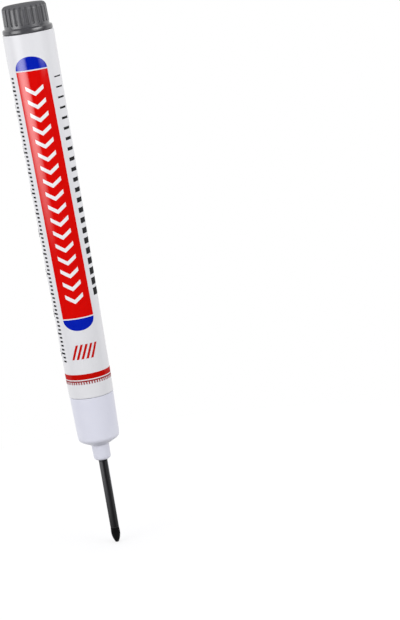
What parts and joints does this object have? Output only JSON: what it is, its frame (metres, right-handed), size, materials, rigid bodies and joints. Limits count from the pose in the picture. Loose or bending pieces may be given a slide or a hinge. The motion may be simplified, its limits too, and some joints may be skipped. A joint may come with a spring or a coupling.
{
  "type": "long nib marker pen",
  "caption": "Slim tapered marker pen with a long sleeved fibre nib on a stepped collar, for marking through deep holes, and a ribbed screw plug at the tail.",
  "frame": {"origin": "the nib's writing point, which is the middle of the bounding box's bottom", "axes": "+Z along the pen's axis from the nib to the tail; -Y is the side with the print panel"},
  "size_m": [0.0124, 0.0124, 0.135],
  "materials": {
    "barrel_plastic": "white moulded polypropylene, printed outside",
    "collar_plastic": "satin lilac-white polypropylene",
    "sleeve_plastic": "semi-gloss dark grey plastic tube",
    "nib_fibre": "ink-soaked black polyester fibre",
    "retainer_plastic": "natural polyethylene",
    "reservoir_fibre": "ink-soaked fibre rod",
    "reservoir_film": "thin clear wrap film",
    "plug_plastic": "satin dark grey polypropylene",
    "seal_rubber": "black rubber ring"
  },
  "bodies": {
    "barrel": {"barrel": "barrel_plastic", "front_collar": "collar_plastic", "nib_sleeve": "sleeve_plastic", "nib": "nib_fibre", "nib_retainer": "retainer_plastic", "reservoir_core": "reservoir_fibre", "reservoir_film": "reservoir_film"},
    "tail_seal": {"tail_seal_ring": "seal_rubber"},
    "tail_plug": {"tail_plug": "plug_plastic"}
  },
  "joints": [
    {"name": "plug_lift", "type": "slide", "parent": "barrel", "child": "tail_seal", "axis": [0, 0, 1], "range_m": [0, 0.005]},
    {"name": "plug_turn", "type": "hinge", "parent": "tail_seal", "child": "tail_plug", "pos_m": [0, 0, 0.1283], "axis": [0, 0, 1], "range_deg": [0, 900]}
  ],
  "couplings": [
    {"joint": "plug_turn", "follows": "plug_lift", "rad_per_m": 3141.6}
  ]
}
